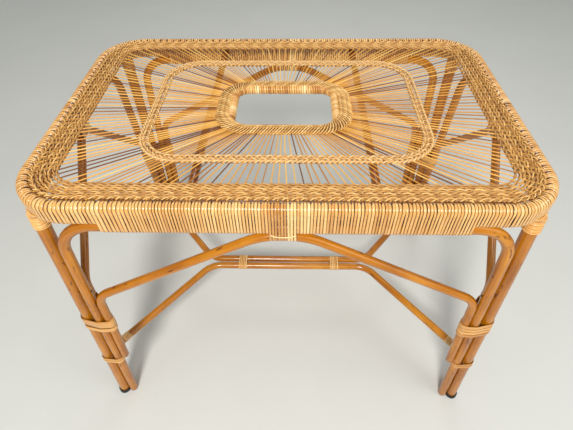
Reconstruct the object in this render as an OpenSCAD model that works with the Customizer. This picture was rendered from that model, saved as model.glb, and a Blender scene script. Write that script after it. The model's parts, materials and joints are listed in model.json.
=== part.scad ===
// Rectangular rattan table: a pole frame on four bundled legs, with an openwork woven top.
// Frame: origin on the floor under the middle of the top, X along the long side, Z up, millimetres.

/* [Overall] */
// Height of the woven surface above the floor
top_h = 722; // [640:1:780]
// Width between the centre lines of the two short rim sides
rim_w = 924; // [820:1:1000]
// Depth between the centre lines of the two long rim sides
rim_d = 600; // [540:1:680]
// Corner radius of the rim's centre line
rim_r = 92; // [80:1:110]

/* [Poles] */
// Diameter of the two stacked rim poles
rim_pole_d = 22; // [18:0.5:26]
// Diameter of the main pole of each leg
leg_pole_d = 27; // [24:0.5:30]
// Diameter of the four inverted-U poles
u_pole_d = 21; // [18:0.5:22]
// Diameter of the four arch poles
arch_pole_d = 18; // [15:0.5:19]
// Diameter of the two low stretchers
stretcher_d = 20; // [16:0.5:22]
// Diameter of the two poles that carry the woven surface
cross_pole_d = 16; // [12:0.5:18]

/* [Legs] */
// Main pole at the floor, distance from the middle along X
foot_x = 460; // [445:1:475]
// Main pole at the floor, distance from the middle along Y
foot_y = 332; // [320:1:345]
// Main pole at its upper end, distance from the middle along X
head_x = 432; // [428:1:438]
// Main pole at its upper end, distance from the middle along Y
head_y = 280; // [276:1:288]
// Extra distance from the main pole to the U-poles at their upper ends
u_spread = 10; // [0:1:14]
// Bend radius of the inverted-U poles
u_bend_r = 74; // [60:1:90]
// Height above the floor at which the inner poles of each leg are cut off
inner_foot_h = 5; // [3:0.5:10]

/* [Arches] */
// Slope of the front and back arch, degrees
long_arch_slope = 28.5; // [25:0.5:32]
// Slope of the left and right arch, degrees
short_arch_slope = 43.5; // [38:0.5:48]
// How far the left and right arches sit towards the middle from the U-poles beside them
arch_in = 10; // [0:1:12]
// Height at which the ends of the arches are cut
arch_cut_h = 200; // [195:1:230]

/* [Stretchers] */
// Height of the two low stretchers
stretcher_h = 156; // [150:1:162]
// Half length of the straight run where the stretchers lie side by side
stretcher_run = 236; // [200:1:260]
// Distance from the middle plane to each stretcher in that run
stretcher_off = 13; // [11:0.5:15]

/* [Woven top] */
// Number of radial spokes on the front and on the back
long_spoke_n = 52; // [30:2:54]
// Number of radial spokes on the left and on the right side
short_spoke_n = 40; // [24:2:46]
// Spoke diameter
spoke_d = 2.4; // [1.8:0.1:3]
// Thickness of the woven band
band_t = 7; // [5:0.5:8]
// Half width and half depth of the band's inner edge
band_in = [400, 249]; // [240:1:410]
// Outer half size of the middle braided ring
mid_out = [286, 191]; // [180:1:300]
// Outer half size of the centre ring
ring_out = [142, 99]; // [95:1:150]
// Half size of the opening in the centre
hole = [100, 66]; // [50:1:105]
// Distance of the centre ring from the middle of the top along X
ring_x = -5; // [-8:1:8]
// How far the spokes drop from the rim to the centre ring
spoke_drop = 6; // [0:0.5:8]

/* [Hidden] */
$fn = 48;
skin = 1.5;                            // thickness of the flat cane winding
wrap_r = rim_pole_d / 2 + skin;        // outside radius of the wound rim
rim_top_z = top_h - 1 - wrap_r;        // axis of the upper rim pole
rim_low_z = rim_top_z - rim_pole_d;    // axis of the lower rim pole
u_z = rim_low_z - (rim_pole_d + u_pole_d) / 2;
wrap_bottom_z = u_z - u_pole_d / 2 - skin;
arch_z = wrap_bottom_z - arch_pole_d / 2;
weave_z = top_h - 4;                   // spokes at their outer ends
ring_z = weave_z - spoke_drop;         // spokes at their inner ends
ring_pole_z = ring_z - 6;
leg_top_z = top_h - 42;
half_w = rim_w / 2;
half_d = rim_d / 2;
u_side = (leg_pole_d + u_pole_d) / 2 + 0.2;      // main pole to U-pole
arch_side = u_side + (u_pole_d + arch_pole_d) / 2 + 0.2;
long_wrap = half_w - 146;              // half length of the deep winding, long sides
short_wrap = half_d - 135;             // half length of the deep winding, short sides
strap_t = 1.4;
strap_gap = 1.2;                       // lets an upright strap clear the leaning poles
arch_binding_w = 44;
head_wrap_h = 38;                      // winding at the head of each main pole
corners = [for (sx = [-1, 1], sy = [-1, 1]) [sx, sy]];

// ---- Places along a leg, for the front right leg in positive numbers ----
function leg_x(z) = foot_x + (head_x - foot_x) * z / leg_top_z;
function leg_y(z) = foot_y + (head_y - foot_y) * z / leg_top_z;
function place(c, x, y, z) = [c.x * x, c.y * y, z];
function leg_at(c, z) = place(c, leg_x(z), leg_y(z), z);
// The front and back U-poles stand beside the main pole along X, the left and right ones along Y.
function long_u_y(z) = foot_y + (half_d - foot_y) * z / u_z;
function short_u_x(z) = foot_x + (half_w - foot_x) * z / u_z;
function spread(z) = u_spread * z / u_z;
function long_u_at(c, z) = place(c, leg_x(z) - u_side - spread(z), long_u_y(z), z);
function short_u_at(c, z) = place(c, short_u_x(z), leg_y(z) - u_side - spread(z), z);
function long_arch_at(c, z) = place(c, leg_x(z) - arch_side - spread(z), long_u_y(z), z);
function short_arch_at(c, z) = place(c, short_u_x(z) - arch_in, leg_y(z) - arch_side - spread(z), z);

// ---- Bent poles: straight sticks joined by true circular bends ----
function unit(v) = v / norm(v);
function corner_angle(p, c, q) = acos(unit(p - c) * unit(q - c));
function setback(p, c, q, r) = r / tan(corner_angle(p, c, q) / 2);

module stick(p, q, d) {
    v = q - p;
    translate(p) rotate([0, acos(v.z / norm(v)), atan2(v.y, v.x)]) cylinder(h = norm(v), d = d);
}

// One bend of radius r at corner c between the directions to p and q.
module bend(p, c, q, r, d) {
    a = unit(p - c);
    b = unit(q - c);
    centre = c + unit(a + b) * r / sin(corner_angle(p, c, q) / 2);
    ex = unit(c + a * setback(p, c, q, r) - centre);
    ez = unit(cross(b, a));
    ey = cross(ez, ex);
    multmatrix([[ex.x, ey.x, ez.x, centre.x], [ex.y, ey.y, ez.y, centre.y],
                [ex.z, ey.z, ez.z, centre.z], [0, 0, 0, 1]])
        rotate_extrude(angle = 180 - corner_angle(p, c, q)) translate([r, 0]) circle(d = d);
}

// A pole through the points, with the bend radius radii[i] at inner point i + 1.
// Each straight stick is a hair thinner than the bends and runs a little way into them.
module bent_pole(points, radii, d) {
    last = len(points) - 1;
    run_in = 1;
    hair = 0.1;
    back_off = [for (i = [0 : last]) (i == 0 || i == last) ? 0
        : setback(points[i - 1], points[i], points[i + 1], radii[i - 1]) - run_in];
    for (i = [0 : last - 1]) {
        way = unit(points[i + 1] - points[i]);
        stick(points[i] + way * back_off[i], points[i + 1] - way * back_off[i + 1], d - hair);
    }
    for (i = [1 : last - 1]) bend(points[i - 1], points[i], points[i + 1], radii[i - 1], d);
}

// ---- Rounded rectangular rings of any section, drawn around the origin ----
// The children are a 2D section whose own origin follows the centre line.
module corner_sweep(half, r, c) {
    translate([c.x * (half.x - r), c.y * (half.y - r), 0])
        rotate([0, 0, c.x > 0 ? (c.y > 0 ? 0 : -90) : (c.y > 0 ? 90 : 180)])
            rotate_extrude(angle = 90) translate([r, 0]) children();
}

module x_run(length, y) {
    translate([-length / 2, y, 0]) rotate([90, 0, 90]) linear_extrude(length) children();
}

module y_run(length, x) {
    translate([x, length / 2, 0]) rotate([90, 0, 0]) linear_extrude(length) children();
}

module ring_sweep(half, r) {
    for (c = corners) corner_sweep(half, r, c) children();
    for (s = [-1, 1]) {
        x_run(2 * (half.x - r), s * half.y) children();
        y_run(2 * (half.y - r), s * half.x) children();
    }
}

module rounded_plate(half, r, t) {
    linear_extrude(t, center = true) union() {
        square([2 * half.x, 2 * (half.y - r)], center = true);
        square([2 * (half.x - r), 2 * half.y], center = true);
        for (c = corners) translate([c.x * (half.x - r), c.y * (half.y - r)]) circle(r);
    }
}

// Weavers pass over and under the spokes: a layer of height t above them and one below.
module woven_ring(outer, outer_r, inner, inner_r, t) {
    layer = (t - spoke_d) / 2 - 0.5;
    for (s = [-1, 1]) translate([0, 0, s * (t - layer) / 2]) difference() {
        rounded_plate(outer, outer_r, layer);
        rounded_plate(inner, inner_r, layer + 2);
    }
}

// ---- Rim ----
module top_rim_pole() {
    color("burlywood") translate([0, 0, rim_top_z])
        ring_sweep([half_w, half_d], rim_r) circle(d = rim_pole_d);
}

module lower_rim_pole() {
    color("burlywood") translate([0, 0, rim_low_z])
        ring_sweep([half_w, half_d], rim_r) circle(d = rim_pole_d);
}

// Upright slot shape of the winding, from the top of the rim down to a lowest axis height.
module slot_section(low_z, r) {
    translate([0, rim_top_z]) circle(r);
    translate([0, low_z]) circle(r);
    translate([-r, low_z]) square([2 * r, rim_top_z - low_z]);
}

module wrap_section(low_z) {
    difference() {
        slot_section(low_z, wrap_r);
        slot_section(low_z, wrap_r - skin);
    }
}

// Each deep winding leaves room at its middle for the turns that also take in the arch.
module long_wrap_at(y) {
    run = long_wrap - arch_binding_w / 2;
    color("goldenrod") for (s = [-1, 1]) translate([s * (arch_binding_w + run) / 2, 0, 0])
        x_run(run, y) wrap_section(u_z + 0.5);
}

module short_wrap_at(x) {
    run = short_wrap - arch_binding_w / 2;
    color("goldenrod") for (s = [-1, 1]) translate([0, s * (arch_binding_w + run) / 2, 0])
        y_run(run, x) wrap_section(u_z + 0.5);
}

// The U-pole lies in a groove of the winding where it leaves the rim.
module u_pole_notch() {
    difference() {
        children();
        translate([0, u_z]) circle(d = u_pole_d + 0.4);
    }
}

module corner_rim_wraps() {
    arm_x = half_w - rim_r - long_wrap;
    arm_y = half_d - rim_r - short_wrap;
    color("goldenrod") for (c = corners) {
        corner_sweep([half_w, half_d], rim_r, c) wrap_section(rim_low_z);
        translate([c.x * (long_wrap + arm_x / 2), 0, 0])
            x_run(arm_x, c.y * half_d) u_pole_notch() wrap_section(rim_low_z);
        translate([0, c.y * (short_wrap + arm_y / 2), 0])
            y_run(arm_y, c.x * half_w) u_pole_notch() wrap_section(rim_low_z);
    }
}

// ---- Woven surface ----
module woven_band() {
    gap = 2;
    outer = [half_w - wrap_r - gap, half_d - wrap_r - gap];
    color("peru") translate([0, 0, weave_z])
        woven_ring(outer, rim_r - wrap_r - gap, band_in, 44, band_t);
}

// Point at fraction t of a rounded rectangle's outline, starting at the middle of the right side.
function outline_length(half, r) = 4 * (half.x + half.y - 2 * r) + 2 * PI * r;
function outline_at(half, r, s) =
    let (a = half.y - r, q = PI * r / 2, b = 2 * (half.x - r), e = 2 * (half.y - r))
    s < a ? [half.x, s]
    : s < a + q ? let (g = (s - a) / r * 180 / PI) [half.x - r + r * cos(g), a + r * sin(g)]
    : s < a + q + b ? [half.x - r - (s - a - q), half.y]
    : s < a + 2 * q + b ? let (g = 90 + (s - a - q - b) / r * 180 / PI)
        [r - half.x + r * cos(g), a + r * sin(g)]
    : s < a + 2 * q + b + e ? [-half.x, a - (s - a - 2 * q - b)]
    : let (m = outline_at(half, r, outline_length(half, r) - s)) [m.x, -m.y];

// Point at u from -1 to 1 along one side of an outline, counted from corner to corner.
// Sides go round from the right one (0) by way of the back (1) and the left (2) to the front (3).
function side_point(half, r, side, u) =
    let (total = outline_length(half, r), reach = (side % 2 == 1 ? half.x : half.y) - r + PI * r / 4)
    outline_at(half, r, (total * (1 + side / 4) + u * reach) % total);

// Spokes stand wider apart on the centre ring in the middle of each side than at its corners.
long_spread = 0.36;
short_spread = 0.1;
spoke_end = [half_w - wrap_r + 3, half_d - wrap_r + 3];
module spokes_of(side) {
    n = side % 2 == 1 ? long_spoke_n : short_spoke_n;
    spread = side % 2 == 1 ? long_spread : short_spread;
    color("tan") for (i = [0 : n - 1]) {
        u = (2 * i + 1) / n - 1;
        p = side_point(spoke_end, rim_r - wrap_r + 3, side, u);
        q = [ring_x, 0] + side_point(hole + [20, 20], 40, side, u * (1 + spread * (1 - abs(u))));
        stick([q.x, q.y, ring_z], [p.x, p.y, weave_z], spoke_d);
    }
}

module middle_braid() {
    width = 22;
    color("wheat") translate([0, 0, (weave_z + ring_z) / 2])
        woven_ring(mid_out, 86, mid_out - [width, width], 64, band_t + 2);
}

// The children follow the centre line of the ring pole.
module ring_pole_sweep() {
    translate([ring_x, 0, ring_pole_z]) ring_sweep(hole + [10, 10], 30) children();
}

module centre_ring_pole() {
    color("burlywood") ring_pole_sweep() circle(d = 16);
}

module centre_ring_wrap() {
    color("goldenrod") ring_pole_sweep() difference() {
        circle(d = 20);
        circle(d = 16);
    }
}

// The braid lies over the outer half of the wound pole.
module centre_braid() {
    color("peru") difference() {
        translate([ring_x, 0, ring_z]) woven_ring(ring_out, 84, hole + [14, 9], 36, 12);
        ring_pole_sweep() circle(d = 20.2);
    }
}

// The cross poles butt against the rim winding under the braids and spokes.
module cross_pole(x) {
    z = ring_z - band_t / 2 - cross_pole_d / 2;
    color("chocolate") difference() {
        stick([x, -half_d + 4, z], [x, half_d - 4, z], cross_pole_d);
        for (s = [-1, 1]) x_run(rim_w / 2 + abs(x), s * half_d) slot_section(rim_low_z, wrap_r);
    }
}

// ---- Legs ----
// The head of the main pole is cut to a saddle that sits against the rim winding.
module leg_pole(c) {
    color("orange") difference() {
        stick(leg_at(c, -20), leg_at(c, leg_top_z), leg_pole_d);
        corner_sweep([half_w, half_d], rim_r, c) slot_section(rim_low_z, wrap_r);
        translate([c.x * foot_x, c.y * foot_y, -48]) cube([120, 120, 100], center = true);
    }
}

// Above the floor the lowest part of the pole stands in a rubber cap.
module foot_cap(c) {
    color([0.08, 0.08, 0.08]) difference() {
        intersection() {
            stick(leg_at(c, -20), leg_at(c, 30), leg_pole_d + 4);
            translate([c.x * foot_x, c.y * foot_y, 6]) cube([120, 120, 12], center = true);
        }
        difference() {
            stick(leg_at(c, -20), leg_at(c, 40), leg_pole_d);
            translate([c.x * foot_x, c.y * foot_y, -48]) cube([120, 120, 100], center = true);
        }
    }
}

module long_u_pole(side) {
    l = [-1, side];
    r = [1, side];
    color("orange") bent_pole([
        long_u_at(l, inner_foot_h), long_u_at(l, u_z), long_u_at(r, u_z), long_u_at(r, inner_foot_h)],
        [u_bend_r, u_bend_r], u_pole_d);
}

module short_u_pole(side) {
    f = [side, -1];
    b = [side, 1];
    color("orange") bent_pole([
        short_u_at(f, inner_foot_h), short_u_at(f, u_z), short_u_at(b, u_z), short_u_at(b, inner_foot_h)],
        [u_bend_r, u_bend_r], u_pole_d);
}

// ---- Arches: two sloping runs that meet under the rim, with their ends along the legs ----
long_arch_top_r = 145;
short_arch_top_r = 30;
arch_low_r = 50;
function arch_peak_z(slope, r) = arch_z + r * (1 / cos(slope) - 1);
// Height at which a sloping run from the peak reaches the inside of the leg.
function knee_z(slope, peak, foot, head) =
    let (t = tan(slope), g = (head - foot) / leg_top_z - u_spread / u_z)
    (peak - t * (foot - arch_side)) / (1 + t * g);

module long_arch(side) {
    l = [-1, side];
    r = [1, side];
    peak = arch_peak_z(long_arch_slope, long_arch_top_r);
    knee = knee_z(long_arch_slope, peak, foot_x, head_x);
    color("orange") bent_pole([
        long_arch_at(l, arch_cut_h), long_arch_at(l, knee), [0, side * long_u_y(peak), peak],
        long_arch_at(r, knee), long_arch_at(r, arch_cut_h)],
        [arch_low_r, long_arch_top_r, arch_low_r], arch_pole_d);
}

module short_arch(side) {
    f = [side, -1];
    b = [side, 1];
    peak = arch_peak_z(short_arch_slope, short_arch_top_r);
    knee = knee_z(short_arch_slope, peak, foot_y, head_y);
    color("orange") bent_pole([
        short_arch_at(f, arch_cut_h), short_arch_at(f, knee),
        [side * short_u_x(peak), 0, peak],
        short_arch_at(b, knee), short_arch_at(b, arch_cut_h)],
        [arch_low_r, short_arch_top_r, arch_low_r], arch_pole_d);
}

// ---- Low stretchers ----
// Each stretcher ends against the short-side U-pole of its leg.
function stretcher_end(c) = short_u_at(c, stretcher_h) - [c.x * 4, c.y * 12, 0];

module stretcher(side) {
    l = [-1, side];
    r = [1, side];
    y = side * stretcher_off;
    color("orange") difference() {
        bent_pole([stretcher_end(l), [-stretcher_run, y, stretcher_h],
            [stretcher_run, y, stretcher_h], stretcher_end(r)], [70, 70], stretcher_d);
        for (c = [l, r]) stick(short_u_at(c, 60), short_u_at(c, 260), u_pole_d);
    }
}

// A closed band of cane around two parallel poles, lying in the plane across X.
module pair_band(x, gap, z, d, width) {
    translate([x - width / 2, 0, z]) rotate([90, 0, 90]) linear_extrude(width) difference() {
        pair_outline(gap, d / 2 + strap_t);
        pair_outline(gap, d / 2);
    }
}

module pair_outline(gap, r) {
    for (s = [-1, 1]) translate([s * gap, 0]) circle(r);
    square([2 * gap, 2 * r], center = true);
}

module stretcher_bindings() {
    color("goldenrod") for (s = [-1, 1])
        pair_band(s * 140, stretcher_off, stretcher_h, stretcher_d, 26);
}

// ---- Bindings of the arch peaks to the rim ----
// At the middle of each side the winding goes round the rim poles, the U-pole and the arch.
arch_wrap_z = arch_z - arch_pole_d / 2 + rim_pole_d / 2;

module long_arch_binding(side) {
    color("goldenrod") x_run(arch_binding_w, side * half_d) wrap_section(arch_wrap_z);
}

module short_arch_binding(side) {
    color("goldenrod") y_run(arch_binding_w, side * half_w) wrap_section(arch_wrap_z);
}

// ---- Straps around the leg bundles ----
// Outline, in the plane across the leg, of a strap drawn tight round the poles at the given height.
module strap_outline(c, z, with_arches, grow) {
    main = leg_at(c, z);
    spots = [
        [main.x, main.y, leg_pole_d / 2],
        [long_u_at(c, z).x, long_u_at(c, z).y, u_pole_d / 2],
        [short_u_at(c, z).x, short_u_at(c, z).y, u_pole_d / 2],
        if (with_arches) [long_arch_at(c, z).x, long_arch_at(c, z).y, arch_pole_d / 2],
        if (with_arches) [short_arch_at(c, z).x, short_arch_at(c, z).y, arch_pole_d / 2]
    ];
    hull() for (s = spots) translate([s[0], s[1]]) circle(s[2] + grow, $fn = 32);
}

module strap(c, z, height, with_arches) {
    color("khaki") translate([0, 0, z - height / 2]) linear_extrude(height) difference() {
        strap_outline(c, z, with_arches, strap_t + strap_gap);
        strap_outline(c, z, with_arches, strap_gap);
    }
}

upper_strap_z = 347;
upper_strap_h = 46;
lower_strap_z = 184;
lower_strap_h = 20;

// ---- Thin cane windings ----
// Turns of thin cane hide the head of each main pole right up to the rim winding.
module leg_head_wraps() {
    top = leg_top_z - 1;
    color("goldenrod") for (c = corners) difference() {
        stick(leg_at(c, top - head_wrap_h), leg_at(c, top), leg_pole_d + 4);
        stick(leg_at(c, top - head_wrap_h - 20), leg_at(c, top + 20), leg_pole_d);
        corner_sweep([half_w, half_d], rim_r, c) slot_section(rim_low_z, wrap_r);
    }
}

module stretcher_end_wraps() {
    color("goldenrod") for (c = corners) {
        tip = stretcher_end(c);
        inner = [c.x * stretcher_run, c.y * stretcher_off, stretcher_h];
        way = unit(inner - tip);
        difference() {
            stick(tip + way * 24, tip + way * 48, stretcher_d + 2.4);
            stick(tip, tip + way * 80, stretcher_d);
        }
    }
}

// ---- Nails: round heads on the inner face of each inner pole ----
module nail(head, way) {
    shank = head - way * 14;
    color("dimgray") {
        stick(shank, head, 2);
        stick(head, head + way * 1.2, 4.5);
    }
}

nail_h = 470;

module leg_nails() {
    for (c = corners) {
        a = long_u_at(c, nail_h);
        b = short_u_at(c, nail_h);
        nail(a - [c.x * u_pole_d / 2, 0, 0], [-c.x, 0, 0]);
        nail(b - [0, c.y * u_pole_d / 2, 0], [0, -c.y, 0]);
    }
}

top_rim_pole();
lower_rim_pole();
long_wrap_at(-half_d);  // front_rim_wrap
long_wrap_at(half_d);  // back_rim_wrap
short_wrap_at(-half_w);  // left_rim_wrap
short_wrap_at(half_w);  // right_rim_wrap
corner_rim_wraps();
woven_band();
spokes_of(3);  // front_spokes
spokes_of(1);  // back_spokes
spokes_of(2);  // left_spokes
spokes_of(0);  // right_spokes
middle_braid();
centre_ring_pole();
centre_ring_wrap();
centre_braid();
cross_pole(-162);  // left_cross_pole
cross_pole(162);  // right_cross_pole
leg_pole([-1, -1]);  // front_left_leg_pole
leg_pole([1, -1]);  // front_right_leg_pole
leg_pole([-1, 1]);  // back_left_leg_pole
leg_pole([1, 1]);  // back_right_leg_pole
long_u_pole(-1);  // front_u_pole
long_u_pole(1);  // back_u_pole
short_u_pole(-1);  // left_u_pole
short_u_pole(1);  // right_u_pole
long_arch(-1);  // front_arch
long_arch(1);  // back_arch
short_arch(-1);  // left_arch
short_arch(1);  // right_arch
stretcher(-1);  // front_stretcher
stretcher(1);  // back_stretcher
stretcher_bindings();
long_arch_binding(-1);  // front_arch_binding
long_arch_binding(1);  // back_arch_binding
short_arch_binding(-1);  // left_arch_binding
short_arch_binding(1);  // right_arch_binding
strap([-1, -1], upper_strap_z, upper_strap_h, true);  // front_left_upper_strap
strap([1, -1], upper_strap_z, upper_strap_h, true);  // front_right_upper_strap
strap([-1, 1], upper_strap_z, upper_strap_h, true);  // back_left_upper_strap
strap([1, 1], upper_strap_z, upper_strap_h, true);  // back_right_upper_strap
strap([-1, -1], lower_strap_z, lower_strap_h, false);  // front_left_lower_strap
strap([1, -1], lower_strap_z, lower_strap_h, false);  // front_right_lower_strap
strap([-1, 1], lower_strap_z, lower_strap_h, false);  // back_left_lower_strap
strap([1, 1], lower_strap_z, lower_strap_h, false);  // back_right_lower_strap
leg_head_wraps();
stretcher_end_wraps();
foot_cap([-1, -1]);  // front_left_foot_cap
foot_cap([1, -1]);  // front_right_foot_cap
foot_cap([-1, 1]);  // back_left_foot_cap
foot_cap([1, 1]);  // back_right_foot_cap
leg_nails();
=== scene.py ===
import json
import math

import bpy
import numpy as np
from mathutils import Matrix, Vector


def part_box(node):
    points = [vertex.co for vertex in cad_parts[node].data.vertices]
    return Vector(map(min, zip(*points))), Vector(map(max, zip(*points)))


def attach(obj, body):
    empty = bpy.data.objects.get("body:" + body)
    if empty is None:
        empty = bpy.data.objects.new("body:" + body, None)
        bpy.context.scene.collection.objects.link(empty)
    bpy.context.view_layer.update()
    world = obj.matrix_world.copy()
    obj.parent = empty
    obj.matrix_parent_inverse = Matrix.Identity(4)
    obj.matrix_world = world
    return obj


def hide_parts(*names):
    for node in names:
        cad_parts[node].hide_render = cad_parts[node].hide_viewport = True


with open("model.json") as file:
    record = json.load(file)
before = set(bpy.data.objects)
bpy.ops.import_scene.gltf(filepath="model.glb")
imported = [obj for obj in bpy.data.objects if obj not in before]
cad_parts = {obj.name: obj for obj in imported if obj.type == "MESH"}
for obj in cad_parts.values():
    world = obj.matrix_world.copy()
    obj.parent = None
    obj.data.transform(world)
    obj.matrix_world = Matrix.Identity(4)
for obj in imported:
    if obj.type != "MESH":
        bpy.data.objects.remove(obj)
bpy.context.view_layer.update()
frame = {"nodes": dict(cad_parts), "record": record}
MM = 0.001
TAU = 2 * math.pi
FLOW_SPREAD = 4000  # strands start at random places in the grain, up to this many millimetres apart
rng = np.random.default_rng(20)


# ---------------------------------------------------------------- sizes, in millimetres
def box_mm(node):
    lo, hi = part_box(node)
    return np.array(lo) / MM, np.array(hi) / MM


def tube_axis(node, d):
    """Half width, half depth and height of a ring pole's centre line, from its CAD box."""
    lo, hi = box_mm(node)
    return (hi[0] - lo[0] - d) / 2, (hi[1] - lo[1] - d) / 2, (lo[2] + hi[2]) / 2


RIM_D, LEG_D, U_D, ARCH_D, STRETCHER_D, CROSS_D = 22, 27, 21, 18, 20, 16
HALF_W, HALF_D, RIM_TOP = tube_axis("top_rim_pole", RIM_D)
RIM_LOW = tube_axis("lower_rim_pole", RIM_D)[2]
RIM_R = 92
SKIN = 1.5
WRAP_R = RIM_D / 2 + SKIN
U_Z = box_mm("front_u_pole")[1][2] - U_D / 2
ARCH_Z = box_mm("front_arch")[1][2] - ARCH_D / 2
LONG_WRAP = box_mm("front_rim_wrap")[1][0]
SHORT_WRAP = box_mm("right_rim_wrap")[1][1]
FOOT = (box_mm("front_right_foot_cap")[0][:2] + box_mm("front_right_foot_cap")[1][:2]) / 2
FOOT = np.abs(FOOT)
HEAD = np.array([432.0, 280.0])
HEAD_Z = 680.0
U_BEND = 74
U_SPREAD = 10
U_SIDE = (LEG_D + U_D) / 2 + 0.2
ARCH_SIDE = U_SIDE + (U_D + ARCH_D) / 2 + 0.2
ARCH_IN = 10
ARCH_CUT = box_mm("front_arch")[0][2]
INNER_FOOT = box_mm("front_u_pole")[0][2]
STRETCHER_Z = (box_mm("front_stretcher")[0][2] + box_mm("front_stretcher")[1][2]) / 2
STRETCHER_RUN, STRETCHER_OFF = 236, 13
WEAVE_Z = (box_mm("woven_band")[0][2] + box_mm("woven_band")[1][2]) / 2
RING_Z = (box_mm("centre_braid")[0][2] + box_mm("centre_braid")[1][2]) / 2
MID_Z = (box_mm("middle_braid")[0][2] + box_mm("middle_braid")[1][2]) / 2
RING_X = (box_mm("centre_braid")[0][0] + box_mm("centre_braid")[1][0]) / 2
RING_POLE_Z = (box_mm("centre_ring_wrap")[0][2] + box_mm("centre_ring_wrap")[1][2]) / 2
HOLE = np.array([100.0, 66.0])
BAND_IN = np.array([400.0, 249.0])
BAND_OUT = box_mm("woven_band")[1][:2]
MID_OUT = box_mm("middle_braid")[1][:2]
RING_OUT = np.array([142.0, 99.0])
CROSS_X = 162
CORNERS = [(sx, sy) for sx in (-1, 1) for sy in (-1, 1)]
TIE_HALF = box_mm("front_arch_binding")[1][0]
TIE_LOW = box_mm("front_arch_binding")[0][2] + WRAP_R
SIDE_OF = {(0, -1): "front", (0, 1): "back", (-1, 0): "left", (1, 0): "right"}


# ---------------------------------------------------------------- strands gathered into meshes
class Weave:
    """Gathers tubes and strips into one mesh. Each point keeps a flow coordinate, which runs
    along its strand, a tint that is the same all along the strand, and a mark: painted shade at
    strand edges and where strands dip under others, and the real darker nodes of poles."""

    def __init__(self):
        self.points, self.flow, self.tint, self.mark = [], [], [], []
        self.quads, self.fans, self.total = [], [], 0

    def grid(self, points, flow, tint, mark, close_rows, caps=False):
        """A grid of points: rows run along the strand, columns go round its section and close."""
        rows, cols = points.shape[:2]
        index = self.total + np.arange(rows * cols).reshape(rows, cols)
        self.points.append(points.reshape(-1, 3))
        self.flow.append(flow.reshape(-1, 3))
        self.tint.append(np.full(rows * cols, tint))
        self.mark.append(np.broadcast_to(mark, (rows, cols)).reshape(-1))
        self.total += rows * cols
        a = index if close_rows else index[:-1]
        b = np.roll(index, -1, axis=0) if close_rows else index[1:]
        self.quads.append(np.stack([a, np.roll(a, -1, 1), np.roll(b, -1, 1), b], -1).reshape(-1, 4))
        if caps:
            self.fans += [index[0][::-1], index[-1]]

    def object(self, name, slot, material, nodes):
        mesh = bpy.data.meshes.new(name)
        quads = np.concatenate(self.quads)
        loops = np.concatenate([quads.reshape(-1)] + self.fans)
        totals = np.concatenate([np.full(len(quads), 4), [len(f) for f in self.fans]]).astype(np.int32)
        starts = np.concatenate([[0], np.cumsum(totals)[:-1]]).astype(np.int32)
        mesh.vertices.add(self.total)
        mesh.loops.add(len(loops))
        mesh.polygons.add(len(totals))
        mesh.vertices.foreach_set("co", (np.concatenate(self.points) * MM).astype(np.float32).ravel())
        mesh.loops.foreach_set("vertex_index", loops.astype(np.int32))
        mesh.polygons.foreach_set("loop_start", starts)
        mesh.polygons.foreach_set("loop_total", totals)
        for key, kind, data, field in (
            ("flow", "FLOAT_VECTOR", np.concatenate(self.flow) * MM, "vector"),
            ("tint", "FLOAT", np.concatenate(self.tint), "value"),
            ("mark", "FLOAT", np.concatenate(self.mark), "value"),
        ):
            layer = mesh.attributes.new(key, kind, "POINT")
            layer.data.foreach_set(field, data.astype(np.float32).ravel())
        mesh.update(calc_edges=True)
        mesh.validate()
        mesh.polygons.foreach_set("use_smooth", np.ones(len(mesh.polygons), bool))
        mesh.materials.append(material)
        obj = bpy.data.objects.new(name, mesh)
        bpy.context.scene.collection.objects.link(obj)
        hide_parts(*nodes)
        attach(obj, "root")
        return obj


def circle_section(r, sides):
    a = np.arange(sides) / sides * TAU
    return np.stack([np.cos(a), np.sin(a)], -1) * r


def unit(v):
    v = np.asarray(v, float)
    return v / np.linalg.norm(v, axis=-1, keepdims=True)


def frames_along(path, closed=False):
    """Tangent, normal and binormal at each point of a path, turning as little as possible."""
    steps = np.roll(path, -1, 0) - np.roll(path, 1, 0) if closed else np.gradient(path, axis=0)
    tangent = unit(steps)
    start = np.array([0, 0, 1.0]) if abs(tangent[0][2]) < 0.9 else np.array([1.0, 0, 0])
    normal = np.zeros_like(tangent)
    normal[0] = unit(start - tangent[0] * (start @ tangent[0]))
    for i in range(1, len(path)):
        n = normal[i - 1] - tangent[i] * (normal[i - 1] @ tangent[i])
        normal[i] = n / np.linalg.norm(n)
    return tangent, normal, np.cross(tangent, normal)


def lengths_along(path):
    return np.concatenate([[0], np.cumsum(np.linalg.norm(np.diff(path, axis=0), axis=1))])


def tube(weave, path, radius, sides, tint, closed=False, mark=0.0):
    """A round strand along a path, with a cap at each end unless it is closed. radius may change
    along it."""
    _, normal, binormal = frames_along(path, closed)
    run = lengths_along(path)
    section = circle_section(1, sides)
    r = np.broadcast_to(radius, len(path))[:, None, None]
    ring = normal[:, None] * section[None, :, :1] + binormal[:, None] * section[None, :, 1:]
    points = path[:, None] + ring * r
    flow = np.zeros_like(points)
    flow[..., 0] = run[:, None] + rng.uniform(0, FLOW_SPREAD)
    flow[..., 1:] = section[None] * r
    marks = np.broadcast_to(np.asarray(mark, float).reshape(-1, 1), (len(path), sides))
    weave.grid(points, flow, tint, marks, closed, not closed)


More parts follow.
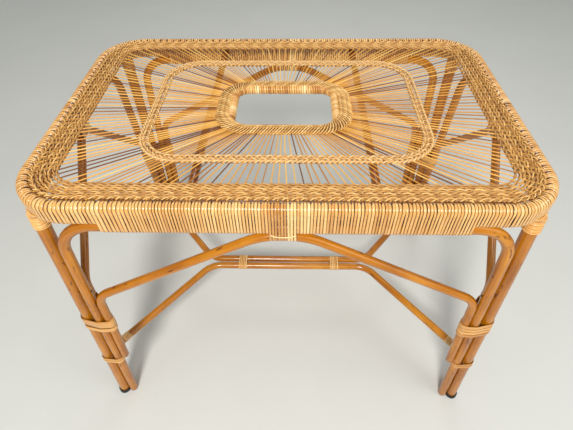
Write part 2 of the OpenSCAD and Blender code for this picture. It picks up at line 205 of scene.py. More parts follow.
# ---------------------------------------------------------------- rounded rectangular outlines
def outline(half, r, s):
    """Points and outward directions on a rounded rectangle, s millimetres along it from the
    middle of its right side, turning towards +Y."""
    half = np.asarray(half, float)
    side_y, side_x, arc = 2 * (half[1] - r), 2 * (half[0] - r), math.pi * r / 2
    total = 2 * (side_x + side_y) + 4 * arc
    s = np.mod(np.asarray(s, float), total)
    points, out = np.zeros(s.shape + (2,)), np.zeros(s.shape + (2,))
    start = -side_y / 2
    s = np.where(s > total - side_y / 2, s - total, s)
    for run, centre, turn in (
        (side_y, (half[0] - r, half[1] - r), 0), (side_x, (r - half[0], half[1] - r), 90),
        (side_y, (r - half[0], r - half[1]), 180), (side_x, (half[0] - r, r - half[1]), 270),
    ):
        d = np.array([math.cos(math.radians(turn)), math.sin(math.radians(turn))])
        t = np.array([-d[1], d[0]])
        at = s - start
        on = (at >= 0) & (at < run)
        corner = np.array(centre) + d * r
        points[on] = corner + t * (at[on] - run)[:, None]
        out[on] = d
        bend = (at >= run) & (at < run + arc)
        angle = np.radians(turn) + (at[bend] - run) / r
        way = np.stack([np.cos(angle), np.sin(angle)], -1)
        points[bend] = np.array(centre) + way * r
        out[bend] = way
        start += run + arc
    return points, out


def outline_length(half, r):
    return 4 * (half[0] + half[1] - 2 * r) + TAU * r


# ---------------------------------------------------------------- cane strips wound round the rim
def slot_outline(low_z, top_z, r):
    """Closed outline of a wound section: offsets from the centre line and outward directions."""
    top = np.radians(np.linspace(0, 180, 13))
    low = np.radians(np.linspace(180, 360, 9))
    rows = [(r * math.cos(a), top_z + r * math.sin(a), math.cos(a), math.sin(a)) for a in top]
    if top_z - low_z > 1:
        rows += [(-r, z, -1, 0) for z in np.linspace(top_z, low_z, 4)[1:-1]]
        low = low[1:-1] if top_z - low_z < 3 else low
    rows += [(r * math.cos(a), low_z + r * math.sin(a), math.cos(a), math.sin(a)) for a in low]
    if top_z - low_z > 1:
        rows += [(r, z, 1, 0) for z in np.linspace(low_z, top_z, 4)[1:-1]]
    rows = np.array(rows)
    keep = [0]
    for i in range(1, len(rows)):
        if np.linalg.norm(rows[i, :2] - rows[keep[-1], :2]) > 0.3:
            keep.append(i)
    if np.linalg.norm(rows[keep[-1], :2] - rows[0, :2]) < 0.3:
        keep.pop()
    return rows[keep]


STRIP_LIFTS = np.array([-1.45, -0.85, -0.28, 0.0, -0.28, -0.85, -1.45])
STRIP_ACROSS = np.array([-0.5, -0.5, -0.3, 0.0, 0.3, 0.5, 0.5])
# Darker strip edges: painted shade where each strip meets its neighbours.
STRIP_EDGE = np.array([1, 0.9, 0.25, 0.0, 0.25, 0.9, 1])


def crest_half(rows):
    return rows[:, 0].max()


def wound_strip(weave, place, s, width, rows, tint, lean=0.0, pinch=0.0, notch=0.0):
    """One turn of flat cane at s along a centre line. place(s) gives points and directions.
    A pinched strip narrows half way down its face, which opens a dark gap beside it. A notch
    draws one edge in where the strip leaves the weave, the far edge if it is negative."""
    lean_rows = lean * np.sin(np.linspace(0, TAU, len(rows), endpoint=False))
    middle = (rows[:, 1].min() + rows[:, 1].max()) / 2
    narrow = 1 - pinch * np.exp(-((rows[:, 1] - middle) / 13) ** 2)
    crest = rows[:, 1].max()
    inward = rows[:, 0] + 0.62 * crest_half(rows)
    drawn = notch * width * np.exp(-(inward ** 2 + (rows[:, 1] - crest + 3) ** 2) / 30)
    at = s + STRIP_ACROSS[None] * (width * narrow - np.abs(drawn))[:, None]
    at = at + (lean_rows + drawn / 2)[:, None]
    centre, out = place(at.ravel())
    centre, out = centre.reshape(at.shape + (2,)), out.reshape(at.shape + (2,))
    reach = rows[:, None, 0] + STRIP_LIFTS[None] * rows[:, None, 2]
    height = rows[:, None, 1] + STRIP_LIFTS[None] * rows[:, None, 3]
    points = np.concatenate([centre + out * reach[..., None], height[..., None]], -1)
    step = np.linalg.norm(np.diff(rows[:, :2], axis=0, append=rows[:1, :2]), axis=1)
    run = np.concatenate([[0], np.cumsum(step)[:-1]])
    flow = np.zeros_like(points)
    flow[..., 0] = run[:, None] + rng.uniform(0, FLOW_SPREAD)
    flow[..., 1] = STRIP_ACROSS * width
    flow[..., 2] = STRIP_LIFTS
    weave.grid(points, flow, tint, np.broadcast_to(STRIP_EDGE, at.shape), True)


def rim_tint(patch):
    """Uneven cane: each turn differs from the next, and longer runs come from one pale or dark coil."""
    return float(np.clip(0.56 + 0.10 * patch + rng.normal(0, 0.07), 0.05, 1))


def wind_rim():
    half = (HALF_W, HALF_D)
    total = outline_length(half, RIM_R)
    sides = ("front", "back", "left", "right")
    weaves = {n: Weave() for n in sides + ("corner",)}
    ties = {n: Weave() for n in sides}
    deep = slot_outline(U_Z + 0.5, RIM_TOP, WRAP_R)
    shallow = slot_outline(RIM_LOW, RIM_TOP, WRAP_R)
    round_arch = slot_outline(TIE_LOW, RIM_TOP, WRAP_R)

    def place(s):
        return outline(half, RIM_R, s)

    patches = rng.uniform(-1, 1, 40)
    s, turn = 0.0, 0
    while s < total - 3:
        centre, out = place(np.array([s + 3]))
        x, y = centre[0]
        width = 5.6 + 0.25 * math.sin(s / 410) + (1.6 if y < -HALF_D + 60 and x < -250 else 0)
        width *= rng.uniform(0.94, 1.06)
        flat = np.abs(out[0]).max() > 0.999
        straight = SIDE_OF.get(tuple(np.round(out[0]).astype(int))) if flat else None
        along, reach = (x, LONG_WRAP) if straight in ("front", "back") else (y, SHORT_WRAP)
        weave, rows = weaves["corner"], shallow
        tint = rim_tint(np.interp(s / total * 39, np.arange(40), patches))
        if straight and abs(along) < TIE_HALF:
            weave, rows = ties[straight], round_arch
            tint = float(np.clip((0.40 if along < 5 else 0.82) + rng.normal(0, 0.04), 0, 1))
        elif straight and abs(along) < reach:
            weave, rows = weaves[straight], deep
            if straight == "front" and TIE_HALF < along < 75:
                tint = min(1.0, tint + 0.18)
        gap = 0.45 + (0.6 if rng.random() < 0.15 else 0)
        pinch = rng.uniform(0.12, 0.3) if rng.random() < 0.35 else 0.05
        notch = (0.42, 0.0, -0.42)[turn % 3]
        lean = rng.normal(0, 0.35)
        wound_strip(weave, place, s + width / 2, width - gap, rows, tint, lean, pinch, notch)
        s += width
        turn += 1
    for side in sides:
        cane = MATERIALS["rim_cane"]
        weaves[side].object(side + "_rim_cane", "rim_cane", cane, [side + "_rim_wrap"])
        tie_strand(ties[side], side)
        ties[side].object(side + "_arch_tie", "binding_cane", cane, [side + "_arch_binding"])
    weaves["corner"].object("corner_rim_cane", "rim_cane", cane, ["corner_rim_wraps"])


def tie_strand(weave, side):
    """A thin strand drawn across the face of the turns that take in the arch."""
    dx, dy = next(k for k, v in SIDE_OF.items() if v == side)
    along = np.array([-dy, dx, 0.0])
    out = np.array([dx, dy, 0.0])
    face = out * ((HALF_D if dx == 0 else HALF_W) + WRAP_R)
    t = np.linspace(-1, 1, 15)[:, None]
    path = face + along * (t * TIE_HALF) + out * (0.6 - 1.6 * t ** 8)
    path[:, 2] = U_Z - U_D / 2 + 2 - 4.5 * (1 - t[:, 0] ** 2)
    tube(weave, path, 1.0, 6, 0.9)


# ---------------------------------------------------------------- twined rows and braids
def ring_path(half, r, z, s, shift=(0.0, 0.0)):
    points, out = outline(half, r, s)
    return np.concatenate([points + np.array(shift), np.full((len(s), 1), z)], -1), out


def twined_row(weave, half, r, z, pitch, strand, swing, rise, turn, tints, strands=2, steps=8, sides=5):
    """Strands that twist round each other along a rounded rectangle."""
    total = outline_length(half, r)
    twists = round(total / pitch)
    s = np.arange(twists * steps) / (twists * steps) * total
    base, out = ring_path(half, r, z, s)
    wander = 0.3 * np.sin(s / 61 + rng.uniform(0, TAU)) + 0.2 * np.sin(s / 23 + rng.uniform(0, TAU))
    for k in range(strands):
        phase = turn * (TAU * twists * s / total) + TAU * k / strands
        path = base.copy()
        path[:, :2] += out * (swing * np.cos(phase) + wander)[:, None]
        path[:, 2] += rise * np.sin(phase)
        # The mark is painted shade: the strand is darker where it dips low under its partner.
        tube(weave, path, strand, sides, tints(), closed=True, mark=np.clip(0.15 - np.sin(phase), 0, 1))


SPOKE_SIDES = (("right", 40, 0.1), ("back", 52, 0.36), ("left", 40, 0.1), ("front", 52, 0.36))
SPOKES = sum(count for _, count, _ in SPOKE_SIDES)
SPOKE_STEP = outline_length((HALF_W - WRAP_R, HALF_D - WRAP_R), RIM_R - WRAP_R) / SPOKES


def band_tint():
    return float(np.clip(rng.normal(0.58, 0.12), 0, 1))


def weave_band():
    """Rows of reed in pairs that change places at every spoke, and change hands from row to row."""
    weave = Weave()
    rows = 7
    pitch = 2 * SPOKE_STEP
    for i in range(rows):
        f = (i + 0.5) / rows
        half = BAND_IN + (BAND_OUT - BAND_IN) * f
        turn = 1 if i % 2 else -1
        twined_row(weave, half, 44 + 33.5 * f, WEAVE_Z, pitch, 1.5, 1.3, 1.65, turn, band_tint,
                   steps=12, sides=6)
    # The outermost pair leaves open slots against the rim winding. The two dark reeds under them are painted
    # shade: dark things that fill the slots where only shade shows.
    edge = BAND_OUT + 1.0
    twined_row(weave, edge, 79, WEAVE_Z + 0.9, SPOKE_STEP, 1.3, 2.0, 1.2, 1, band_tint, steps=8, sides=6)
    for inset in (-2.5, 0.6):
        twined_row(weave, edge + inset, 79 + inset, WEAVE_Z - 3.4, 80, 1.7, 0.3, 0.2, 1,
                   lambda: 0.14, strands=1, steps=24, sides=6)
    weave.object("twined_band", "band_weave", MATERIALS["band_weave"], ["woven_band"])


def weave_middle():
    weave = Weave()
    for i, turn in enumerate((1, -1, 1)):
        f = (i + 0.5) / 3
        half = MID_OUT - 22 * (1 - f)
        twined_row(weave, half, 64 + 22 * f, MID_Z, 19, 2.0, 1.8, 2.1, turn,
                   lambda: float(np.clip(rng.normal(0.72, 0.12), 0, 1)))
    weave.object("middle_twined_ring", "middle_braid", MATERIALS["middle_braid"], ["middle_braid"])


def weave_centre():
    """A rolled border: strands run slantwise both ways round a flat core, over and under each other,
    beside a wound ring pole."""
    weave = Weave()
    inner, outer = HOLE + [14, 9], RING_OUT
    half, r = (inner + outer) / 2, 60
    total = outline_length(half, r)
    starts, pitch, steps = 8, 50, 48
    twists = round(total / pitch)
    s = np.arange(twists * steps) / (twists * steps) * total
    base, out = ring_path(half, r, RING_Z + 0.6, s, (RING_X, 0))
    corner = np.abs(out[:, 0] * out[:, 1]) * 2
    reach = 10.6 + 2.6 * np.abs(out[:, 0]) ** 2 + 2.5 * corner
    crossing = np.cos(TAU * twists * starts * s / total)
    for turn, strand, rest, weight in ((1, 1.65, 0.3, 0.45), (-1, 1.3, -0.8, 0.8)):
        lift = rest + weight * turn * crossing
        for k in range(starts):
            phase = turn * TAU * twists * s / total + TAU * k / starts
            path = base.copy()
            path[:, :2] += out * ((reach + lift) * np.cos(phase))[:, None]
            path[:, 2] += (4.0 + lift) * np.sin(phase) - 1.2 * np.cos(phase)
            tint = float(np.clip(rng.normal(0.72 if turn > 0 else 0.2, 0.14), 0, 1))
            # The mark is painted shade: a strand is darker where it sinks under the other family.
            tube(weave, path, strand, 6, tint, closed=True, mark=np.clip(-turn * crossing, 0, 0.5))
    weave.object("centre_rolled_border", "centre_braid", MATERIALS["centre_braid"], ["centre_braid"])


def wind_centre():
    weave = Weave()
    half = HOLE + 10
    total = outline_length(half, 30)
    rows = slot_outline(RING_POLE_Z, RING_POLE_Z, 10)

    def place(s):
        points, out = outline(half, 30, s)
        return points + np.array([RING_X, 0]), out

    count = 132
    for i in range(count):
        tint = float(np.clip(0.5 + 0.2 * math.sin(i * 0.31) + rng.normal(0, 0.15), 0, 1))
        wound_strip(weave, place, (i + 0.5) * total / count, total / count - 0.3, rows, tint,
                    lean=rng.normal(0.8, 0.3))
    weave.object("centre_ring_cane", "ring_cane", MATERIALS["ring_cane"], ["centre_ring_wrap"])


# ---------------------------------------------------------------- spokes
def side_points(half, r, side, u):
    """Points at u from -1 to 1 along one side of an outline, counted from corner to corner."""
    reach = half[0 if side % 2 else 1] - r + math.pi * r / 4
    return outline(half, r, outline_length(half, r) * side / 4 + np.asarray(u) * reach)[0]


def lay_spokes():
    outer = (HALF_W - WRAP_R + 3, HALF_D - WRAP_R + 3)
    dark = 0.0
    for side, (name, count, spread) in enumerate(SPOKE_SIDES):
        weave = Weave()
        u = (2 * np.arange(count) + 1) / count - 1
        far = side_points(outer, RIM_R - WRAP_R + 3, side, u)
        near = side_points(HOLE + 20, 40, side, u * (1 + spread * (1 - np.abs(u)))) + np.array([RING_X, 0])
        for p, q in zip(near, far):
            # Reeds come in short runs of one colour: a few brown ones side by side, then golden ones.
            if rng.random() < 0.55:
                browner = dark < 0.5 and rng.random() < 0.36
                dark = rng.uniform(0.5, 0.95) if browner else rng.uniform(0, 0.4)
            t = np.linspace(0, 1, 9)[:, None]
            path = np.concatenate([p * (1 - t) + q * t, RING_Z + (WEAVE_Z - RING_Z) * t], -1)
            bow = np.sin(t[:, 0] * math.pi)
            across = unit(np.array([p[1] - q[1], q[0] - p[0]]))
            path[:, :2] += across * (bow * rng.normal(0, 0.6))[:, None]
            path[:, 2] += bow * rng.normal(0, 0.35)
            tint = float(np.clip(1 - dark - rng.uniform(0, 0.25), 0, 1))
            tube(weave, path, 1.2 * rng.uniform(0.92, 1.1), 7, tint)
        weave.object(name + "_reed_spokes", "spoke_reed", MATERIALS["spoke_reed"], [name + "_spokes"])


# ---------------------------------------------------------------- bent poles
def leg_x(z):
    return FOOT[0] + (HEAD[0] - FOOT[0]) * z / HEAD_Z


def leg_y(z):
    return FOOT[1] + (HEAD[1] - FOOT[1]) * z / HEAD_Z


def long_u_y(z):
    return FOOT[1] + (HALF_D - FOOT[1]) * z / U_Z


def short_u_x(z):
    return FOOT[0] + (HALF_W - FOOT[0]) * z / U_Z


def mirrored(c, x, y, z):
    """A point of the front right leg, carried to the leg at corner c."""
    return np.array([c[0] * x, c[1] * y, z], float)


def leg_at(c, z):
    return mirrored(c, leg_x(z), leg_y(z), z)


def long_at(c, z, side):
    return mirrored(c, leg_x(z) - side - U_SPREAD * z / U_Z, long_u_y(z), z)


def short_at(c, z, side, inward=0):
    return mirrored(c, short_u_x(z) - inward, leg_y(z) - side - U_SPREAD * z / U_Z, z)


def bent_path(points, radii, step=6.0):
    """Straight runs joined by true bends, sampled every few millimetres."""
    points = [np.array(p, float) for p in points]
    out = [points[0]]
    for i in range(1, len(points) - 1):
        a, c, b = points[i - 1], points[i], points[i + 1]
        da, db = unit(a - c), unit(b - c)
        angle = math.acos(float(np.clip(da @ db, -1, 1)))
        back = radii[i - 1] / math.tan(angle / 2)
        centre = c + unit(da + db) * radii[i - 1] / math.sin(angle / 2)
        start, end = c + da * back - centre, c + db * back - centre
        sweep = math.pi - angle
        count = max(3, int(sweep * radii[i - 1] / step))
        for k in range(count + 1):
            f = k / count
            arm = math.sin((1 - f) * sweep) * start + math.sin(f * sweep) * end
            out.append(centre + arm / math.sin(sweep))
    out.append(points[-1])
    dense = [out[0]]
    for p, q in zip(out, out[1:]):
        gap = np.linalg.norm(q - p)
        n = max(1, int(round(gap / step)))
        dense += [p + (q - p) * k / n for k in range(1, n + 1)]
    return np.array(dense)


NODE_SPACING = (190, 330)


def rattan(name, path, d, slot, nodes):
    """A natural pole: slightly uneven, with a raised dark node every so often."""
    run = lengths_along(path)
    slow = 0.010 * np.sin(run / 83 + rng.uniform(0, TAU))
    quick = 0.007 * np.sin(run / 31 + rng.uniform(0, TAU))
    radius = d / 2 * (1 + slow + quick)
    mark = np.zeros(len(run))
    at = rng.uniform(60, NODE_SPACING[0])
    while at < run[-1] - 30:
        near = np.exp(-((run - at) / 4.5) ** 2)
        radius = radius + 0.35 * near - 0.2 * np.exp(-((run - at - 9) / 5) ** 2)
        mark = np.maximum(mark, near * rng.uniform(0.4, 1))
        at += rng.uniform(*NODE_SPACING)
    radius = np.minimum(radius, d / 2 + 0.4)
    weave = Weave()
    tube(weave, path, radius, 22, rng.uniform(0.46, 0.64), mark=mark)
    return weave.object(name, slot, MATERIALS[slot], nodes)


def build_poles():
    for c in CORNERS:
        name = ("front" if c[1] < 0 else "back") + ("_left" if c[0] < 0 else "_right")
        path = bent_path([leg_at(c, 2.2), leg_at(c, HEAD_Z - 3)], [])
        rattan(name + "_main_pole", path, LEG_D, "leg_rattan", [name + "_leg_pole"])
    for s, name in ((-1, "front"), (1, "back")):
        a, b = (-1, s), (1, s)
        path = bent_path([long_at(a, INNER_FOOT, U_SIDE), long_at(a, U_Z, U_SIDE),
                          long_at(b, U_Z, U_SIDE), long_at(b, INNER_FOOT, U_SIDE)], [U_BEND] * 2)
        rattan(name + "_bent_u_pole", path, U_D, "u_rattan", [name + "_u_pole"])
    for s, name in ((-1, "left"), (1, "right")):
        a, b = (s, -1), (s, 1)
        path = bent_path([short_at(a, INNER_FOOT, U_SIDE), short_at(a, U_Z, U_SIDE),
                          short_at(b, U_Z, U_SIDE), short_at(b, INNER_FOOT, U_SIDE)], [U_BEND] * 2)
        rattan(name + "_bent_u_pole", path, U_D, "u_rattan", [name + "_u_pole"])
    build_arches()
    build_stretchers()
    z = (box_mm("left_cross_pole")[0][2] + box_mm("left_cross_pole")[1][2]) / 2
    for s, name in ((-1, "left"), (1, "right")):
        reach = box_mm(name + "_cross_pole")[1][1]
        path = bent_path([(s * CROSS_X, -reach, z), (s * CROSS_X, reach, z)], [])
        rattan(name + "_carrying_pole", path, CROSS_D, "cross_rattan", [name + "_cross_pole"])


ARCHES = {"long": (28.5, 145, 50), "short": (43.5, 30, 50)}


def arch_peak(kind):
    slope, top_r, _ = ARCHES[kind]
    return ARCH_Z + top_r * (1 / math.cos(math.radians(slope)) - 1)


def arch_knee(kind, foot, head):
    t = math.tan(math.radians(ARCHES[kind][0]))
    lean = (head - foot) / HEAD_Z - U_SPREAD / U_Z
    return (arch_peak(kind) - t * (foot - ARCH_SIDE)) / (1 + t * lean)


def build_arches():
    knee, peak = arch_knee("long", FOOT[0], HEAD[0]), arch_peak("long")
    _, top_r, low_r = ARCHES["long"]
    for s, name in ((-1, "front"), (1, "back")):
        a, b = (-1, s), (1, s)
        points = [long_at(a, ARCH_CUT, ARCH_SIDE), long_at(a, knee, ARCH_SIDE), (0, s * long_u_y(peak), peak),
                  long_at(b, knee, ARCH_SIDE), long_at(b, ARCH_CUT, ARCH_SIDE)]
        path = bent_path(points, [low_r, top_r, low_r])
        rattan(name + "_bent_arch", path, ARCH_D, "arch_rattan", [name + "_arch"])
    knee, peak = arch_knee("short", FOOT[1], HEAD[1]), arch_peak("short")
    _, top_r, low_r = ARCHES["short"]
    for s, name in ((-1, "left"), (1, "right")):
        a, b = (s, -1), (s, 1)
        points = [short_at(a, ARCH_CUT, ARCH_SIDE, ARCH_IN), short_at(a, knee, ARCH_SIDE, ARCH_IN),
                  (s * short_u_x(peak), 0, peak),
                  short_at(b, knee, ARCH_SIDE, ARCH_IN), short_at(b, ARCH_CUT, ARCH_SIDE, ARCH_IN)]
        path = bent_path(points, [low_r, top_r, low_r])
        rattan(name + "_bent_arch", path, ARCH_D, "arch_rattan", [name + "_arch"])


def stretcher_end(c):
    return short_at(c, STRETCHER_Z, U_SIDE) - np.array([c[0] * 4, c[1] * 12, 0])


def build_stretchers():
    for s, name in ((-1, "front"), (1, "back")):
        a, b = (-1, s), (1, s)
        points = [stretcher_end(a), (-STRETCHER_RUN, s * STRETCHER_OFF, STRETCHER_Z),
                  (STRETCHER_RUN, s * STRETCHER_OFF, STRETCHER_Z), stretcher_end(b)]
        path = bent_path(points, [70, 70])
        rattan(name + "_low_stretcher", path, STRETCHER_D, "stretcher_rattan", [name + "_stretcher"])


# ---------------------------------------------------------------- straps and windings
def hull_2d(points):
    points = sorted(map(tuple, points))

    def half(seq):
        line = []
        for p in seq:
            while len(line) > 1 and ((line[-1][0] - line[-2][0]) * (p[1] - line[-2][1])
                                     - (line[-1][1] - line[-2][1]) * (p[0] - line[-2][0])) <= 0:
                line.pop()
            line.append(p)
        return line[:-1]

    return np.array(half(points) + half(points[::-1]))


def resample(loop, step):
    loop = np.vstack([loop, loop[:1]])
    run = lengths_along(loop)
    n = max(12, int(run[-1] / step))
    s = np.arange(n) / n * run[-1]
    return np.stack([np.interp(s, run, loop[:, k]) for k in range(loop.shape[1])], -1)


def bundle_outline(c, z, with_arches, grow):
    spots = [(leg_at(c, z), LEG_D), (long_at(c, z, U_SIDE), U_D), (short_at(c, z, U_SIDE), U_D)]
    if with_arches:
        spots += [(long_at(c, z, ARCH_SIDE), ARCH_D), (short_at(c, z, ARCH_SIDE, ARCH_IN), ARCH_D)]
    ring = np.concatenate([spot[:2] + circle_section(d / 2 + grow, 32) for spot, d in spots])
    return hull_2d(ring)


def flat_loop(weave, loop, width, thick, tint):
    """A closed flat strip of cane lying along a loop of 3-D points, with its width along Z."""
    tangent = unit(np.roll(loop, -1, 0) - np.roll(loop, 1, 0))
    out = unit(np.cross(tangent, np.array([0, 0, 1.0])))
    across = np.cross(out, tangent)
    lifts = np.array([-1.0, -0.35, 0.35, 0.5, 0.35, -0.35, -1.0]) * thick
    widths = np.array([-0.5, -0.5, -0.32, 0.0, 0.32, 0.5, 0.5]) * width
    points = loop[:, None] + out[:, None] * lifts[None, :, None] + across[:, None] * widths[None, :, None]
    flow = np.zeros_like(points)
    flow[..., 0] = lengths_along(loop)[:, None] + rng.uniform(0, FLOW_SPREAD)
    flow[..., 1], flow[..., 2] = widths, lifts
    # The mark darkens both edges of the strip: painted shade where strips meet.
    weave.grid(points, flow, tint, np.array([1, 0.9, 0.2, 0, 0.2, 0.9, 1]), True)


def strap(name, node, c, z, with_arches, widths):
    """Flat strands drawn side by side round the poles of one leg."""
    weave = Weave()
    total = sum(widths)
    at = z + total / 2
    for width in widths:
        level = at - width / 2
        loop = resample(bundle_outline(c, level, with_arches, 2.1), 4)
        lift = 0.35 * np.sin(np.arange(len(loop)) / len(loop) * TAU + rng.uniform(0, TAU))
        ring = np.concatenate([loop, (level + lift)[:, None]], -1)
        flat_loop(weave, ring, width - 0.5, 1.5, rng.uniform(0.3, 0.62))
        at -= width
    weave.object(name, "strap_cane", MATERIALS["strap_cane"], [node])


def coil(weave, start, end, radius, strand, turns, tint, wobble=0.15):
    """Thin cane wound round a straight pole."""
    steps = int(turns * 24)
    t = np.arange(steps + 1) / steps
    way = end - start
    helper = np.array([0, 0, 1.0]) if abs(unit(way)[2]) < 0.8 else np.array([1.0, 0, 0])
    a = unit(np.cross(way, helper))
    b = np.cross(unit(way), a)
    angle = TAU * turns * t
    uneven = 1 + wobble * 0.02 * np.sin(angle * 0.37)
    around = a * np.cos(angle)[:, None] + b * np.sin(angle)[:, None]
    path = start + way * t[:, None] + around * (radius * uneven)[:, None]
    tube(weave, path, strand, 6, tint)


def tie_legs():
    layouts = {(-1, -1): [30, 15], (1, -1): [12, 11, 11, 11], (-1, 1): [16, 15, 14], (1, 1): [26, 19]}
    for c in CORNERS:
        name = ("front" if c[1] < 0 else "back") + ("_left" if c[0] < 0 else "_right")
        for level, with_arches, widths in (("upper", True, layouts[c]), ("lower", False, [11, 8.5])):
            node = "%s_%s_strap" % (name, level)
            low, high = box_mm(node)
            strap("%s_%s_cane_strap" % (name, level), node, c, (low[2] + high[2]) / 2, with_arches, widths)
    weave = Weave()
    low, top = box_mm("leg_head_wraps")[0][2] + 6, HEAD_Z - 1
    climbers, fan_step = 19, 11
    for c in CORNERS:
        tint = rng.uniform(0.45, 0.7)
        coil(weave, leg_at(c, low), leg_at(c, top), LEG_D / 2 + 0.7, 1.25, 12.5, tint, wobble=2)
        # Close-set strands climb from the windings to the face of the rim and hide the ledge between.
        way = math.atan2(c[1], c[0])
        turn = c[0] * c[1]
        for k in range(climbers):
            angle = way + math.radians(fan_step * (k - climbers // 2))
            start = leg_at(c, top - 4) + np.append(np.array([math.cos(angle), math.sin(angle)]) * 14.4, 0)
            corner = np.array([c[0] * (HALF_W - RIM_R), c[1] * (HALF_D - RIM_R)])
            lean = way + (math.atan2(*(start[:2] - corner)[::-1]) - way) * 0.9 + 0.09 * turn
            reach = RIM_R + WRAP_R + 0.7
            end = np.append(corner + np.array([math.cos(lean), math.sin(lean)]) * reach, RIM_LOW + 1)
            middle = (start + end) / 2 + np.array([math.cos(way), math.sin(way), 0.5]) * 1.6
            t = np.linspace(0, 1, 10)[:, None]
            path = (1 - t) ** 2 * start + 2 * t * (1 - t) * middle + t ** 2 * end
            tube(weave, path, 1.25, 6, rng.uniform(0.4, 0.7))
    weave.object("leg_head_windings", "binding_cane", MATERIALS["binding_cane"], ["leg_head_wraps"])
    weave = Weave()
    for c in CORNERS:
        tip = stretcher_end(c)
        way = unit(np.array([c[0] * STRETCHER_RUN, c[1] * STRETCHER_OFF, STRETCHER_Z]) - tip)
        tint = rng.uniform(0.8, 0.95)
        coil(weave, tip + way * 24.5, tip + way * 47.5, STRETCHER_D / 2 + 0.6, 1.35, 5.5, tint)
    weave.object("stretcher_end_windings", "binding_cane", MATERIALS["binding_cane"], ["stretcher_end_wraps"])


def bind_pairs():
    """Turns of cane round the two stretchers where they lie side by side."""
    weave = Weave()
    one = circle_section(STRETCHER_D / 2 + 1.3, 24)
    ring = np.concatenate([one + [STRETCHER_OFF, 0], one - [STRETCHER_OFF, 0]])
    loop = resample(hull_2d(ring), 3)
    binding_x, turns, turn_pitch = 140, 5, 5.2
    for s in (-1, 1):
        for k in range(turns):
            x = s * binding_x + (k - turns // 2) * turn_pitch
            band_loop(weave, np.stack([np.full(len(loop), x), loop[:, 0], loop[:, 1] + STRETCHER_Z], -1),
                      np.array([1.0, 0, 0]), 4.9, 1.4, rng.uniform(0.45, 0.75))
    weave.object("stretcher_pair_windings", "binding_cane", MATERIALS["binding_cane"], ["stretcher_bindings"])


def band_loop(weave, loop, across, width, thick, tint):
    """A closed flat strip with a fixed direction across it; the loop is its outer face."""
    tangent = unit(np.roll(loop, -1, 0) - np.roll(loop, 1, 0))
    out = np.cross(tangent, across)
    middle = loop.mean(0)
    if ((loop - middle) * out).sum() < 0:
        out = -out
    lifts = np.array([-1.0, -0.35, 0.0, -0.35, -1.0]) * thick
    widths = np.array([-0.5, -0.5, 0.0, 0.5, 0.5]) * width
    points = loop[:, None] + out[:, None] * lifts[None, :, None] + across * widths[None, :, None]
    flow = np.zeros_like(points)
    flow[..., 0] = lengths_along(loop)[:, None] + rng.uniform(0, FLOW_SPREAD)
    flow[..., 1], flow[..., 2] = widths, lifts
    # The mark darkens both edges of the strip: painted shade where turns meet.
    weave.grid(points, flow, tint, np.array([1, 0.9, 0, 0.9, 1]), True)


# ---------------------------------------------------------------- materials
def linear(rgb):
    out = []
    for v in rgb:
        v = v / 255
        out.append(v / 12.92 if v <= 0.04045 else ((v + 0.055) / 1.055) ** 2.4)
    return out


class Nodes:
    """Short names for the node calls that every material needs."""

    def __init__(self, name):
        self.material = bpy.data.materials.new(name)
        self.material.use_nodes = True
        self.tree = self.material.node_tree
        self.shader = self.tree.nodes["Principled BSDF"]

    def new(self, kind, **settings):
        node = self.tree.nodes.new(kind)
        for key, value in settings.items():
            setattr(node, key, value)
        return node

    def link(self, a, b):
        self.tree.links.new(a, b)

    def attribute(self, name, output):
        return self.new("ShaderNodeAttribute", attribute_name=name).outputs[output]

    def scaled(self, vector, scale):
        node = self.new("ShaderNodeMapping")
        self.link(vector, node.inputs["Vector"])
        node.inputs["Scale"].default_value = scale
        return node.outputs["Vector"]

    def noise(self, vector, scale, detail=3.0, rough=0.55):
        node = self.new("ShaderNodeTexNoise")
        self.link(vector, node.inputs["Vector"])
        node.inputs["Scale"].default_value = scale
        node.inputs["Detail"].default_value = detail
        node.inputs["Roughness"].default_value = rough
        return node.outputs["Fac"]

    def math(self, operation, a, b, clamp=False):
        node = self.new("ShaderNodeMath", operation=operation, use_clamp=clamp)
        for socket, value in zip(node.inputs, (a, b)):
            if isinstance(value, (int, float)):
                socket.default_value = value
            else:
                self.link(value, socket)
        return node.outputs[0]

    def span(self, value, lo, hi, to_lo=0.0, to_hi=1.0):
        node = self.new("ShaderNodeMapRange")
        self.link(value, node.inputs["Value"])
        for key, v in (("From Min", lo), ("From Max", hi), ("To Min", to_lo), ("To Max", to_hi)):
            node.inputs[key].default_value = v
        return node.outputs["Result"]

    def ramp(self, value, stops):
        node = self.new("ShaderNodeValToRGB")
        self.link(value, node.inputs["Fac"])
        elements = node.color_ramp.elements
        while len(elements) < len(stops):
            elements.new(0.5)
        for element, (at, rgb) in zip(elements, stops):
            element.position = at
            element.color = (*linear(rgb), 1)
        return node.outputs["Color"]

    def mix(self, factor, a, b):
        node = self.new("ShaderNodeMix", data_type="RGBA")
        for socket, value in ((node.inputs[0], factor), (node.inputs[6], a), (node.inputs[7], b)):
            if isinstance(value, (int, float)):
                socket.default_value = value
            elif isinstance(value, (tuple, list)):
                socket.default_value = (*value, 1)
            else:
                self.link(value, socket)
        return node.outputs[2]

    def bump(self, height, strength, distance):
        node = self.new("ShaderNodeBump")
        self.link(height, node.inputs["Height"])
        node.inputs["Strength"].default_value = strength
        node.inputs["Distance"].default_value = distance
        self.link(node.outputs["Normal"], self.shader.inputs["Normal"])

    def finish(self, color, roughness, **sockets):
        self.link(color, self.shader.inputs["Base Color"])
        self.link(roughness, self.shader.inputs["Roughness"])
        for key, value in sockets.items():
            self.shader.inputs[key.replace("_", " ")].default_value = value
        return self.material


